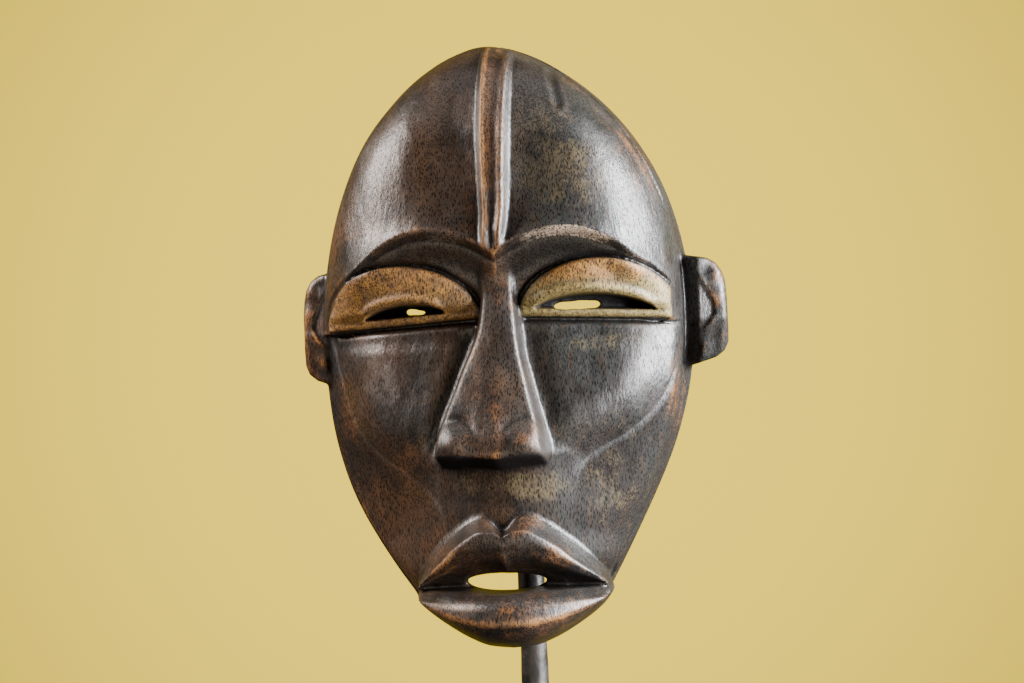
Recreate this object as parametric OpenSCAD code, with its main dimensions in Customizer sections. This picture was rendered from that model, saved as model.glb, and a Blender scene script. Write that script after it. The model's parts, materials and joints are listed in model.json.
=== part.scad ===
// Carved wooden face mask hung on its adjustable display stand.
// Frame: +Z up, the mask looks along -Y, and the origin is the centre of the base's underside.
// Mask features are placed in the mask's own frame: x across, z up from the chin, and
// depth measured forwards from the flat back rim.

/* [Mask] */
// Height of the mask from chin to crown
mask_h = 253; // [246:1:258]
// Height of the chin above the surface that the stand is on
chin_z = 102; // [96:1:130]
// Half the width of the face at its widest
face_half = 79.5; // [76:0.5:81]
// Height of the widest part above the chin
wide_z = 130; // [126:1:134]
// Half the width of the jaw where the lips begin
jaw_half = 41; // [39:0.5:43]
// Height at which the jaw closes round the lips
jaw_z = 22; // [20:1:24]
// How far the middle of the outline lies to the left of the features
lean = 2.8; // [0:0.1:3.2]
// Thickness of the carved wall, front to back
wall = 11; // [9:0.5:13]
// Width of the flat rim round the hollow
rim_w = 9; // [8:0.5:11]

/* [Face] */
// Depth of the forehead's crown line in front of the rim
forehead_d = 60; // [56:1:62]
// Depth of the cheeks in front of the rim, at the middle
cheek_d = 47; // [44:1:50]
// Depth of the nose's tip in front of the rim
nose_d = 71; // [66:1:74]
// Depth of the lips in front of the rim
lips_d = 72; // [66:1:76]
// Height of the wall that stands up at the outline before the face turns inwards
side_d = 15; // [12:1:18]
// Height of the carved ridge down the middle of the forehead
ridge_h = 4; // [2:0.5:6]
// Height of each eye slit
slit_h = 3.6; // [2.5:0.1:3.8]

/* [Stand] */
// Width of the base block, side to side
base_w = 124; // [110:1:160]
// Depth of the base block, front to back
base_d = 104; // [100:1:140]
// Height of the base block
base_h = 28; // [26:1:40]
// Thickness of the felt under the base
felt_t = 2; // [2:0.5:3]
// Distance from the base's centre back to the post's axis
post_y = 27; // [25:1:30]
// Diameter of the post
post_d = 12; // [11.5:0.1:12.5]
// Height of the post's top above the chin
post_top = 216; // [212:1:218]
// Gap between the post and the mask's back rim
rim_gap = 7; // [7:0.5:9]
// Diameter of the two hanging arms
arm_d = 5; // [4.5:0.1:5.2]
// Distance of each arm's tip from the middle
arm_x = 26; // [26:0.5:27]
// Radial clearance between the post and what turns or slides on it
run_clear = 0.06; // [0.03:0.01:0.09]

/* [Hidden] */
$fn = 48;

rows = 76;              // grid rows up the face
cols = 52;              // grid columns across the face
hollow_rows = 30;
hollow_cols = 24;
end_gap = 0.4;          // the grids stop this far short of the chin and the crown

rim_y = post_y - post_d / 2 - rim_gap;
base_top = felt_t + base_h;

brow_x = 28;            // where each brow is highest
brow_z = 174.3;
eye_x = 41;             // middle of each eyelid
eye_z = 135;            // the straight groove under the lids
eye_half = 33;
eye_rise = 25.6;
nose_root_z = 168;
nose_tip_z = 81;
nose_root_half = 7;
nose_tip_half = 24;
mouth_z = 25;           // bottom edge of the mouth's opening
mouth_half = 24;
mouth_rise = 8.5;
lip_top_z = 57;
lip_half = 40;
hollow_low = 11;        // bottom and top of the hollow above the chin
hollow_high = 239;

collar_h = 12;
collar_z = chin_z + 166;
collar_d = 24;
screw_z = collar_z + collar_h / 2;
hub_h = 21;
hub_z = collar_z + collar_h + 0.3;
hub_d = 22;
tube_d = 12;
tube_half = 18;
tube_z = chin_z + 191;
socket_depth = 10;
grub_x = 14.5;
bend_r = 7;
arm_front = 20;         // how far in front of the rim each arm turns up
arm_tip_z = 224.4;      // where the rubber tip's dome begins, above the chin
tip_d = 9;
tip_h = 16;

plate_w = 88;
plate_d = 46;
plate_h = 6;
plate_y = -22;
nut_af = 13;
nut_h = 6.5;
washer_h = 1.6;
spigot_d = 8;
pocket_d = 22;
nut_z = felt_t + 1.4;
flange_d = 44;
flange_h = 4;
flange_pcd = 32;
flange_bolts = 3;

iron = "#2b2624";
steel = "#8d8f92";
dark_wood = "#3b271c";
rubber = "#1c1c1e";

// ---- Shape of the face ----

function clamp01(t) = min(1, max(0, t));
function ease(t) = let (c = clamp01(t)) c * c * (3 - 2 * c);
function mix(a, b, t) = a + (b - a) * t;
function arc(t) = sqrt(max(0, 1 - t * t));
function bell(t) = exp(-t * t);

// Half width of the outline at a height above the chin
function outline(z) =
    z > wide_z ? face_half * pow(1 - pow((z - wide_z) / (mask_h + 0.3 - wide_z), 2.2), 0.6) :
    z > jaw_z ? mix(face_half, jaw_half, pow((wide_z - z) / (wide_z - jaw_z), 1.8)) :
    jaw_half * pow(1 - pow((jaw_z - z) / jaw_z, 1.7), 0.8);

// Sideways place of the middle of the outline, which leans most at the jaw and the crown
function middle(z) = -lean * (1 + 0.8 * bell((z - 45) / 35) + 1.1 * pow(max(0, z - 185) / 68, 2));

// Depth of the middle of the face without its features
function middle_depth(z) =
    z > 185 ? side_d + (forehead_d - side_d) * arc((z - 185) / (mask_h + 2 - 185)) :
    z > 40 ? forehead_d :
    side_d + (cheek_d + 1 - side_d) * arc((40 - z) / 41);

// The brow is two parabolas that share a peak
function brow(ax) = brow_z - (ax < brow_x ? 9.8 * pow((brow_x - ax) / brow_x, 2)
    : 31 * pow((ax - brow_x) / 46.4, 2));

// 1 above the brow and 0 below it
function above_brow(ax, z) = ease((z - brow(ax)) / brow_fall(ax) + 1);
function brow_fall(ax) = 7 + 4 * ease((ax - brow_x) / 30);

function dome(x, z, d) = side_d + (d - side_d) * arc(min(1, abs(x - middle(z)) / outline(z)));

function face_depth(x, z) =
    z <= 40 ? dome(x, z, middle_depth(z))
    : mix(dome(x, z, cheek_d + 1), dome(x, z, middle_depth(z)), above_brow(abs(x), z));

// The cheek planes end at a soft edge, below which the jaw falls back
function jaw_cut(ax, z) =
    let (edge = 122 - 1.15 * max(0, 73 - ax))
    z < edge && z > 20 ? min(10, (edge - z) * 0.22) * ease((ax - 26) / 22) : 0;

function ridge(ax, z) = ridge_h * bell(ax / mix(2.5, 6.5, ease((z - 165) / 70)))
    * ease((z - 166) / 10);

function brow_edge(ax, z) = 1.6 * bell((z - brow(ax) + 2) / 3.5) * ease((ax - 5) / 8);

function lid(ax, z) = let (h = (z - eye_z) / eye_rise, w = (ax - eye_x) / eye_half,
    r = 1 - w * w - h * h) z > eye_z && r > 0 ? 5 * sqrt(r) * ease(h * 6) : 0;

function nose_half(z) = z > 136 ? nose_root_half + 0.7
    : mix(nose_root_half + 0.7, nose_tip_half, (136 - z) / (136 - nose_tip_z));
function nose(ax, z) = z < nose_tip_z || z > nose_root_z ? 0 :
    let (t = (nose_root_z - z) / (nose_root_z - nose_tip_z),
        h = mix(2, nose_d - cheek_d, pow(t, 0.8)),
        s = ax / nose_half(z))
    s >= 1.25 ? 0 : h * (1 - ease((s - 0.15) / 1.1));

// Distance in from the lips' outline, as a share of the way to the middle of the mouth
function lip_in(ax, z) =
    let (h = z > mouth_z ? (z - mouth_z + 4 * bell(ax / 6)) / (lip_top_z - mouth_z)
        : (mouth_z - z) / (mouth_z + 2))
    1 - norm([h, ax / lip_half]);
function lips(ax, z) = let (t = lip_in(ax, z), h = lips_d - cheek_d - 1)
    t <= 0 ? 0 : h * (z > mouth_z ? ease(t / 0.38) : arc(1 - min(1, t / 0.5)));

// Depth of the finished front at a point
function front(x, z) = let (ax = abs(x))
    face_depth(x, z) - jaw_cut(ax, z) + ridge(ax, z) + brow_edge(ax, z)
        + lid(ax, z) + nose(ax, z) + lips(ax, z);

// The hollow follows the leaning outline at the jaw and is straight above the cheeks
function hollow_middle(z) = middle(z) * ease((150 - z) / 50);
function hollow_half(z) = outline(z) - rim_w + middle(z) / 2;

// Depth of the hollow behind the face
function hollow_depth(x, z) =
    (middle_hollow(z) - wall) * arc(min(1, abs(x - hollow_middle(z)) / hollow_half(z)));
function middle_hollow(z) = z > 185 ? middle_depth(z)
    : mix(cheek_d, forehead_d, ease((z - 160) / 25))
        * (z < 40 ? mix(0.62, 1, arc((40 - z) / 40)) : 1);

// ---- Solids for the mask ----

// Where a grid column stands across the outline, from -1 to 1, closer together at the sides
function across(t) = mix(2 * t - 1, sin(180 * t - 90), 0.6);

// A closed solid between the plane y = 0 and a grid of depths, where each row of the grid
// is as wide as the outline, or as the hollow, at its height
module relief(z0, z1, nr, nc, low, is_hollow) {
    function grid_x(z, i) = is_hollow ? hollow_middle(z) + hollow_half(z) * across(i / nc)
        : middle(z) + max(0.6, outline(z)) * across(i / nc);
    pts_front = [for (j = [0:nr]) let (z = mix(z0, z1, j / nr)) for (i = [0:nc]) let (x = grid_x(z, i))
        [x, -(is_hollow ? max(0.4, hollow_depth(x, z)) : front(x, z)), z]];
    pts_back = [for (j = [0:nr]) let (z = mix(z0, z1, j / nr)) for (i = [0:nc]) [grid_x(z, i), low, z]];
    n = (nr + 1) * (nc + 1);
    row = nc + 1;
    faces_front = [for (j = [0:nr - 1]) for (i = [0:nc - 1]) for (k = [0, 1])
        let (a = j * row + i) k == 0 ? [a, a + row, a + row + 1] : [a, a + row + 1, a + 1]];
    left = [for (j = [0:nr]) n + j * row];
    right = [for (j = [nr:-1:0]) n + j * row + nc];
    side_left = [for (j = [0:nr - 1]) let (a = j * row) [a, n + a, n + a + row, a + row]];
    side_right = [for (j = [0:nr - 1]) let (a = j * row + nc) [a, a + row, n + a + row, n + a]];
    bottom = [[for (i = [0:nc]) i, for (i = [nc:-1:0]) n + i]];
    top = [[for (i = [nc:-1:0]) nr * row + i, for (i = [0:nc]) n + nr * row + i]];
    top_row = [for (i = [1:nc - 1]) n + nr * row + i];
    back = [concat(left, top_row, right, [for (i = [nc - 1:-1:1]) n + i])];
    polyhedron(concat(pts_front, pts_back),
        [for (f = concat(faces_front, side_left, side_right, bottom, top, back))
            [for (k = [len(f) - 1:-1:0]) f[k]]], convexity = 6);
}

module mouth_opening() {
    translate([0, 1, mouth_z])
        rotate([90, 0, 0])
            linear_extrude(lips_d + 20)
                intersection() {
                    scale([mouth_half, mouth_rise])
                        circle(1, $fn = 40);
                    translate([-mouth_half, 0])
                        square([mouth_half * 2, mouth_rise * 2]);
                }
}

module eye_opening(side) {
    translate([side * 35, 1, eye_z + 6.3])
        rotate([90, 0, 0])
            linear_extrude(forehead_d + 20)
                scale([9.5, slit_h / 2])
                    circle(1, $fn = 28);
}

// The dark slit between the lids is cut only part of the way in
module eye_recess(side) {
    hull()
        for (step = [-1, 0, 1])
            translate([side * (37 + step * 17), -32, eye_z + 5.9 - abs(step) * 1.6])
                rotate([90, 0, 0])
                    cylinder(h = 40, r = 2.7 - abs(step) * 1.4, $fn = 12);
}

module ear(side) {
    scale([side, 1, 1])
        difference() {
            union() {
                hull() {
                    translate([72, -3, 118])
                        sphere(4, $fn = 16);
                    translate([72, -3, 158])
                        sphere(4, $fn = 16);
                    translate([84, -8, 155])
                        sphere(5, $fn = 16);
                    translate([86, -9, 124])
                        sphere(5.5, $fn = 16);
                }
                hull() {
                    translate([83, -12, 156])
                        sphere(4.5, $fn = 16);
                    translate([86.5, -14, 146])
                        sphere(4.5, $fn = 16);
                }
                hull() {
                    translate([86.5, -14, 146])
                        sphere(4.5, $fn = 16);
                    translate([86.8, -12, 124])
                        sphere(4.5, $fn = 16);
                }
                hull() {
                    translate([86.8, -12, 124])
                        sphere(4.5, $fn = 16);
                    translate([78, -10, 117])
                        sphere(4.5, $fn = 16);
                }
            }
            translate([60, 0, 100])
                cube([40, 20, 70]);
        }
}

module mask() {
    color(dark_wood)
        translate([0, rim_y, chin_z])
            difference() {
                union() {
                    relief(end_gap, mask_h - end_gap, rows, cols, 0, false);
                    ear(-1);
                    ear(1);
                }
                relief(hollow_low, hollow_high, hollow_rows, hollow_cols, 5, true);
                mouth_opening();
                for (side = [-1, 1]) {
                    eye_opening(side);
                    eye_recess(side);
                }
            }
}

// ---- Stand ----

module rounded_slab(w, d, h, r) {
    linear_extrude(h)
        union() {
            square([w - 2 * r, d], center = true);
            square([w, d - 2 * r], center = true);
            for (sx = [-1, 1], sy = [-1, 1])
                translate([sx * (w / 2 - r), sy * (d / 2 - r)])
                    circle(r);
        }
}

module at_plate_screws() {
    for (sx = [-1, 1], sy = [-1, 1])
        translate([sx * (plate_w / 2 - 8), plate_y + sy * (plate_d / 2 - 8), felt_t])
            children();
}

module at_flange_screws() {
    for (i = [0:flange_bolts - 1])
        translate([0, post_y, base_top])
            rotate([0, 0, 90 + 360 / flange_bolts * i])
                translate([flange_pcd / 2, 0, 0])
                    children();
}

module base_block() {
    color("#1d1815")
        difference() {
            union() {
                translate([0, 0, felt_t])
                    rounded_slab(base_w, base_d, base_h - 4, 4);
                translate([0, 0, felt_t + base_h - 4])
                    rounded_slab(base_w - 6, base_d - 6, 4, 4);
            }
            translate([0, post_y, 0])
                cylinder(h = base_top + 1, d = spigot_d + 0.4);
            translate([0, post_y, 0])
                cylinder(h = nut_z + nut_h + washer_h, d = pocket_d);
            translate([-plate_w / 2 - 0.2, plate_y - plate_d / 2 - 0.2, 0])
                cube([plate_w + 0.4, plate_d + 0.4, felt_t + plate_h]);
            at_plate_screws()
                cylinder(h = 16, d = 3);
            at_flange_screws()
                translate([0, 0, -13])
                    cylinder(h = 14, d = 2.4);
        }
}

module felt_pad() {
    color("#23262b")
        rounded_slab(base_w - 6, base_d - 6, felt_t, 4);
}

module ballast_plate() {
    color(steel)
        difference() {
            translate([-plate_w / 2, plate_y - plate_d / 2, felt_t])
                cube([plate_w, plate_d, plate_h]);
            at_plate_screws() {
                translate([0, 0, -1])
                    cylinder(h = plate_h + 2, d = 3.6);
                translate([0, 0, -1])
                    cylinder(h = 3.4, d = 7);
            }
        }
}

module ballast_screws() {
    color(steel)
        at_plate_screws() {
            difference() {
                translate([0, 0, 0.2])
                    cylinder(h = 2.2, d = 6.6);
                translate([-2.5, -0.4, 0])
                    cube([5, 0.8, 1]);
            }
            translate([0, 0, 2.4])
                cylinder(h = 13, d = 3);
        }
}

module post_flange() {
    color(iron)
        difference() {
            translate([0, post_y, base_top])
                union() {
                    cylinder(h = flange_h - 1, d = flange_d);
                    cylinder(h = flange_h, d = flange_d - 2);
                    cylinder(h = flange_h + 5, d = post_d + 8);
                }
            translate([0, post_y, base_top - 1])
                cylinder(h = flange_h + 8, d = post_d + 0.1);
            at_flange_screws() {
                translate([0, 0, -1])
                    cylinder(h = flange_h + 2, d = 3.2);
                translate([0, 0, flange_h - 1.6])
                    cylinder(h = 3, d = 6);
            }
        }
}

module flange_screws() {
    color(steel)
        at_flange_screws() {
            difference() {
                translate([0, 0, flange_h - 1.6])
                    cylinder(h = 2, d = 5.6);
                translate([-2, -0.35, flange_h - 0.4])
                    cube([4, 0.7, 1]);
            }
            translate([0, 0, -12])
                cylinder(h = 12 + flange_h - 1.6, d = 2.4);
        }
}

module post() {
    color(iron)
        translate([0, post_y, 0])
            union() {
                translate([0, 0, base_top])
                    cylinder(h = chin_z + post_top - base_top - 1.5, d = post_d);
                translate([0, 0, chin_z + post_top - 1.5])
                    cylinder(h = 1.5, d = post_d - 2);
                translate([0, 0, nut_z - 0.6])
                    cylinder(h = base_top - nut_z + 0.6, d = spigot_d);
            }
}

module post_washer() {
    color(steel)
        translate([0, post_y, nut_z + nut_h])
            difference() {
                cylinder(h = washer_h, d = 18);
                translate([0, 0, -1])
                    cylinder(h = washer_h + 2, d = spigot_d + 0.4);
            }
}

module post_nut() {
    color(steel)
        translate([0, post_y, nut_z])
            difference() {
                cylinder(h = nut_h, d = nut_af / cos(30), $fn = 6);
                translate([0, 0, -1])
                    cylinder(h = nut_h + 2, d = spigot_d + 0.02);
            }
}

module chin_bumper() {
    color(rubber)
        translate([0, post_y, chin_z + 6])
            difference() {
                union() {
                    cylinder(h = 8, d = 2 * (post_d / 2 + rim_gap) - 2);
                    translate([0, 0, 1.5])
                        cylinder(h = 5, d = 2 * (post_d / 2 + rim_gap) - 0.8);
                }
                translate([0, 0, -1])
                    cylinder(h = 10, d = post_d + 0.04);
            }
}

module stop_collar() {
    color(iron)
        difference() {
            translate([0, post_y, collar_z])
                union() {
                    cylinder(h = collar_h, d = collar_d - 2);
                    translate([0, 0, 1])
                        cylinder(h = collar_h - 2, d = collar_d);
                }
            translate([0, post_y, collar_z - 1])
                cylinder(h = collar_h + 2, r = post_d / 2 + run_clear);
            translate([0, post_y, screw_z])
                rotate([-90, 0, 0])
                    cylinder(h = collar_d, r = 2.5 + run_clear);
        }
}

module thumb_screw() {
    color(steel)
        translate([0, post_y, screw_z])
            rotate([-90, 0, 0])
                union() {
                    translate([0, 0, post_d / 2 + 0.2])
                        cylinder(h = 12, d = 5);
                    translate([0, 0, collar_d / 2 + 1.2])
                        cylinder(h = 3, d = 9);
                    difference() {
                        translate([0, 0, collar_d / 2 + 4])
                            cylinder(h = 7, d = 16);
                        for (a = [0:30:330])
                            rotate([0, 0, a])
                                translate([8.6, 0, collar_d / 2 + 3])
                                    cylinder(h = 9, d = 2.6, $fn = 24);
                    }
                }
}

module bracket_hub() {
    color(iron)
        difference() {
            union() {
                translate([0, post_y, hub_z])
                    cylinder(h = hub_h, d = hub_d);
                translate([-tube_half, post_y, tube_z])
                    rotate([0, 90, 0])
                        cylinder(h = tube_half * 2, d = tube_d);
            }
            translate([0, post_y, hub_z - 1])
                cylinder(h = hub_h + 2, r = post_d / 2 + run_clear);
            for (side = [-1, 1]) {
                translate([side * (tube_half - socket_depth), post_y, tube_z])
                    rotate([0, side * 90, 0])
                        cylinder(h = socket_depth + 1, d = arm_d + 0.1);
                translate([side * grub_x, post_y, tube_z])
                    rotate([-90, 0, 0])
                        cylinder(h = tube_d, d = 4);
            }
        }
}

// One rod that leaves the hub sideways, bends forwards into the hollow and bends up
module arm(side) {
    run_y = post_y - (rim_y - arm_front);
    rise = chin_z + arm_tip_z - tube_z;
    inner = tube_half - socket_depth + 0.5;
    bend_x = arm_x - bend_r;
    color(iron)
        translate([0, post_y, tube_z])
            scale([side, 1, 1])
                union() {
                    translate([inner, 0, 0])
                        rotate([0, 90, 0])
                            cylinder(h = bend_x - inner, d = arm_d);
                    translate([bend_x, -bend_r, 0])
                        rotate_extrude(angle = 90)
                            translate([bend_r, 0])
                                circle(d = arm_d, $fn = 32);
                    translate([arm_x, -bend_r, 0])
                        rotate([90, 0, 0])
                            cylinder(h = run_y - 2 * bend_r, d = arm_d);
                    translate([arm_x, -run_y + bend_r, bend_r])
                        rotate([0, 90, 0])
                            rotate([0, 0, -90])
                                rotate_extrude(angle = 90)
                                    translate([bend_r, 0])
                                        circle(d = arm_d, $fn = 32);
                    translate([arm_x, -run_y, bend_r])
                        cylinder(h = rise - bend_r, d = arm_d);
                }
}

module arm_left() {
    arm(-1);
}

module arm_right() {
    arm(1);
}

// Grub screws that hold the arms in the hub's sockets
module arm_screws() {
    color(steel)
        for (side = [-1, 1])
            translate([side * grub_x, post_y, tube_z])
                rotate([-90, 0, 0])
                    difference() {
                        translate([0, 0, arm_d / 2 + 0.05])
                            cylinder(h = 4, d = 3.9);
                        translate([0, 0, arm_d / 2 + 2])
                            cylinder(h = 3, d = 2, $fn = 6);
                    }
}

module tip(side) {
    color(rubber)
        translate([side * arm_x, rim_y - arm_front, chin_z + arm_tip_z])
            difference() {
                union() {
                    translate([0, 0, 2 - tip_h])
                        cylinder(h = tip_h - 2, d = tip_d);
                    intersection() {
                        sphere(d = tip_d);
                        cylinder(h = tip_d, d = tip_d + 2);
                    }
                }
                translate([0, 0, 1 - tip_h])
                    cylinder(h = tip_h - 1, d = arm_d + 0.04);
            }
}

module tip_left() {
    tip(-1);
}

module tip_right() {
    tip(1);
}

mask();
base_block();
felt_pad();
ballast_plate();
ballast_screws();
post_flange();
flange_screws();
post();
post_washer();
post_nut();
chin_bumper();
stop_collar();
thumb_screw();
bracket_hub();
arm_left();
arm_right();
arm_screws();
tip_left();
tip_right();
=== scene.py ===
"""Looks for the carved wooden mask on its display stand.

The mask is sculpted as one solid: maps of depth over x and z give an implicit surface, which is meshed
and carries attributes for wear, hollows and pigment. The sculpting works in millimetres in the mask's
own frame: x across, d forwards from the flat back rim, z up from the chin, and ax is x without its
sign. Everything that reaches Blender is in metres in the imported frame.
"""
import json
import math

import bmesh
import bpy
import numpy as np
from mathutils import Euler, Matrix, Vector


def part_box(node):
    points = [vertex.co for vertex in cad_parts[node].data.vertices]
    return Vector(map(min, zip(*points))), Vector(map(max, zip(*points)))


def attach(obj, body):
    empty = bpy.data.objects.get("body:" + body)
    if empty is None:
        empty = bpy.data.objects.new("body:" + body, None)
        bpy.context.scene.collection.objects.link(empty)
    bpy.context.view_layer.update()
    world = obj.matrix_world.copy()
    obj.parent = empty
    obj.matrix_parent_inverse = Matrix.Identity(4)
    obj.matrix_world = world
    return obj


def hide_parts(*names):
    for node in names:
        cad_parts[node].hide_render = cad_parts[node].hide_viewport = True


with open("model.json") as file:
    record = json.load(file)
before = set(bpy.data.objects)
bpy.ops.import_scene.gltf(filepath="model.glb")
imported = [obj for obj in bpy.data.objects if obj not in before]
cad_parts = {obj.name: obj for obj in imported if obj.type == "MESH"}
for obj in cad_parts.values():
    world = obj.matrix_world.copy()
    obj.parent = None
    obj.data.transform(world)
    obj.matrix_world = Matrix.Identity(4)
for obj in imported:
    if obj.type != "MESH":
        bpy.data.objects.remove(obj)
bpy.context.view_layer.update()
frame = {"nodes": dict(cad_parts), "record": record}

MM = 0.001
SEED = 11

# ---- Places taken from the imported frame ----

mask_low, mask_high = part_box("mask")
GRID_GAP = 0.4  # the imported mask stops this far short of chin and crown
RIM_Y = mask_high.y  # plane of the flat back rim
CHIN_Z = mask_low.z - GRID_GAP * MM
MASK_H = (mask_high.z - mask_low.z) / MM + GRID_GAP
EAR_REACH = mask_high.x / MM - 0.2

# ---- Driving dimensions of the carving, millimetres ----

FACE_HALF = 79.5  # half width at the widest height
WIDE_Z = 130.0
JAW_HALF = 41.0
JAW_Z = 22.0
SIDE_D = 17.0  # depth of the side wall behind the face's edge
WALL_DRAFT = 0.13  # the side wall leans in this much per millimetre forwards
RIM_W = 9.0  # flat rim round the hollow
WALL = 11.0  # thickness between the front and the hollow
HOLLOW_LOW, HOLLOW_HIGH = 11.0, 239.0
HOLLOW_FORE, HOLLOW_CHEEK, HOLLOW_SIDE = 60.0, 47.0, 15.0
HOLLOW_DEEP_Z = 185.0  # the hollow is deepest here
GOUGE_WIDE, GOUGE_LONG = 7.0, 30.0

EYE_X, EYE_HALF = 41.0, 33.2  # middle and half width of each painted lid
EYE_TOP_Z = 160.6
GROOVE_Z = 134.3  # groove under both eyes, at its outer end
MOUTH_Z = 25.8  # where the upper lip meets the opening
LIP_TOP_Z = 22.3  # top edge of the lower lip
LIP_HALF = 40.9
NICK_LOW, NICK_HIGH = (28.0, 224.0), (23.0, 240.0)  # ends of an old knock high on the forehead
MOUTH_FLOOR = 39.0  # depth of the ledge inside the mouth
NOWHERE = -99.0  # a depth far behind the carving
CELL = 0.9  # size of the cells that the sculpture is meshed with
MAP_STEP = 0.4  # spacing of the depth maps' points
MAP_MARGIN = 4.0


# ---- Small numeric helpers ----

def unit(t):
    return np.clip(t, 0.0, 1.0)


def ease(t):
    c = unit(t)
    return c * c * (3.0 - 2.0 * c)


def arc(t):
    return np.sqrt(np.maximum(0.0, 1.0 - t * t))


def bell(t):
    return np.exp(-t * t)


def mix(a, b, t):
    return a + (b - a) * t


def smin(a, b, k):
    """Smaller of two values, with a fillet of about k."""
    h = np.maximum(k - np.abs(a - b), 0.0) / k
    return np.minimum(a, b) - h * h * k * 0.25


def smax(a, b, k):
    return -smin(-a, -b, k)


def sided(x, left, right):
    """One value left of the middle and another right of it."""
    return np.where(x < 0, left, right)


def soft(t, r):
    """Positive part of t, with its corner rounded over about r."""
    return 0.5 * (t + np.sqrt(t * t + r * r))


def curve(t, *points):
    """Smooth curve through a few (place, value) points that never overshoots them."""
    place, value = np.array(points, float).T
    gap = np.diff(place)
    rise = np.diff(value) / gap
    slope = np.empty_like(place)
    slope[0], slope[-1] = rise[0], rise[-1]
    for i in range(1, len(place) - 1):
        turns = rise[i - 1] * rise[i] <= 0
        slope[i] = 0 if turns else 2 * rise[i - 1] * rise[i] / (rise[i - 1] + rise[i])
    t = np.asarray(t, float)
    i = np.clip(np.searchsorted(place, t) - 1, 0, len(place) - 2)
    u = unit((t - place[i]) / gap[i])
    ends = (1 + 2 * u) * (1 - u) ** 2 * value[i] + u * u * (3 - 2 * u) * value[i + 1]
    bends = u * (1 - u) ** 2 * slope[i] - u * u * (1 - u) * slope[i + 1]
    return ends + bends * gap[i]


def ripple(x, z, size, seed, stretch=1.0):
    """Seeded waves of about -1 to 1; size is their length, and stretch lengthens them along z."""
    rng = np.random.default_rng(seed)
    total = np.zeros(np.broadcast(x, z).shape)
    for _ in range(7):
        angle = rng.uniform(0, 2 * math.pi)
        length = size * rng.uniform(0.7, 1.5)
        phase = rng.uniform(0, 2 * math.pi)
        way = x * math.cos(angle) + z / stretch * math.sin(angle)
        total += np.sin(2 * math.pi * way / length + phase)
    return total / 4.0


# ---- Outlines ----

def outline(z):
    """Half width of the face at a height above the chin."""
    high_share = unit((z - WIDE_Z) / (MASK_H + 0.7 - WIDE_Z))
    top = FACE_HALF * (1 - high_share ** 2.2) ** 0.6
    low_share = unit((WIDE_Z - z) / (WIDE_Z - JAW_Z))
    middle = mix(FACE_HALF, JAW_HALF, low_share ** 1.8)
    chin = JAW_HALF * np.maximum(0, 1 - unit((JAW_Z - z) / JAW_Z) ** 1.7) ** 0.8
    return np.where(z > WIDE_Z, top, np.where(z > JAW_Z, middle, chin)) + left_bulge(z)


def left_bulge(z):
    """Half of how much further the left jaw stands out than the right one."""
    return 1.8 * bell((z - 74) / 38) + 0.6 * bell((z - 222) / 25)


def centre(z):
    """The outline leans: its middle lies a little to the left, most at the crown and jaw."""
    crown = np.clip((z - 185) / 68, 0, 1.1)
    return -2.8 - 2.2 * bell((z - 45) / 35) - 3.2 * crown ** 2 - left_bulge(z)


def from_middle(x, z):
    """Distance from the outline's middle, and its share of the half width."""
    away = np.abs(x - centre(z))
    return away, unit(away / np.maximum(outline(z) - 2.0, 1.0))


def brow_line(ax):
    inner = 174.3 - 9.8 * ((28 - ax) / 28) ** 2
    outer = 174.3 - 31.0 * ((ax - 28) / 46.4) ** 2
    return np.where(ax < 28, inner, outer)


def lip_rim(ax):
    return curve(ax, (0, 50.4), (2, 51.6), (5, 55.4), (8.5, 57.4), (12, 56.9), (17, 54.2), (24, 48.8),
                 (31, 42.2), (36.5, 34.8), (39.3, 29.5), (40.8, 25.6), (48, 10))


def lip_crest(ax):
    return curve(ax, (0, 48.6), (4, 50.8), (9, 51.0), (15, 48.2), (20, 44.8), (27, 38.8), (33, 33.6),
                 (37, 29.8), (40.4, 25.7), (48, 10))


def lip_bottom(ax):
    return curve(ax, (0, 0.9), (9, 1.7), (16, 4.0), (27, 9.8), (36, 16.4), (39.8, 21.4), (41.2, 24.5),
                 (50, 60))


# ---- Depth of the carved front ----

def forehead(x, ax, z):
    """Dome with a scooped foot along the brow, a rib down its middle and an old knock."""
    away, u = from_middle(x, z)
    crown = curve(z, (140, 54.5), (165, 56), (190, 57), (210, 54.5), (228, 47), (240, 38.5), (248, 29),
                  (253, 20))
    right = ease((x + 12) / 24)
    side = curve(z, (134, 16), (165, 21), (205, 25), (232, 21), (253, 14))
    dome = side + (crown - side) * (1 - u ** mix(3.1, 4.6, right)) ** mix(0.74, 0.80, right)
    up = z - brow_line(ax)
    dome = dome + 4.2 * np.exp(-np.clip(up, 0, 90) / 7.5) * ease((outline(z) - away) / 22)
    dome = dome - 2.8 * bell((ax - 17) / 12) * ease((z - 176) / 20) * ease((254 - z) / 30)
    middle = 1.3 * ease((z - 165) / 20)
    half = curve(z, (160, 1.6), (165, 3.4), (172, 4.2), (190, 4.9), (212, 5.5), (250, 5.9))
    across = np.abs(x - middle)
    crest = np.where(x < middle, 0.45, 0.9) * bell((across - half + 1.3) / np.where(x < middle, 1.1, 1.7))
    rib = 4.0 * ease((half + 2.0 - across) / 3.4) + crest - 0.7 * bell(across / 2.4)
    dome = dome + rib * ease((z - 160) / 14) * ease((256 - z) / 12)
    along = unit((z - NICK_LOW[1]) / (NICK_HIGH[1] - NICK_LOW[1]))
    past_end = np.maximum(np.abs(z - 232) - 7, 0)
    from_nick = np.hypot(x - mix(NICK_LOW[0], NICK_HIGH[0], along), past_end * 0.6)
    return dome - 1.3 * bell(from_nick / 1.7) + 0.5 * bell((from_nick - 2.8) / 1.4)


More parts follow.
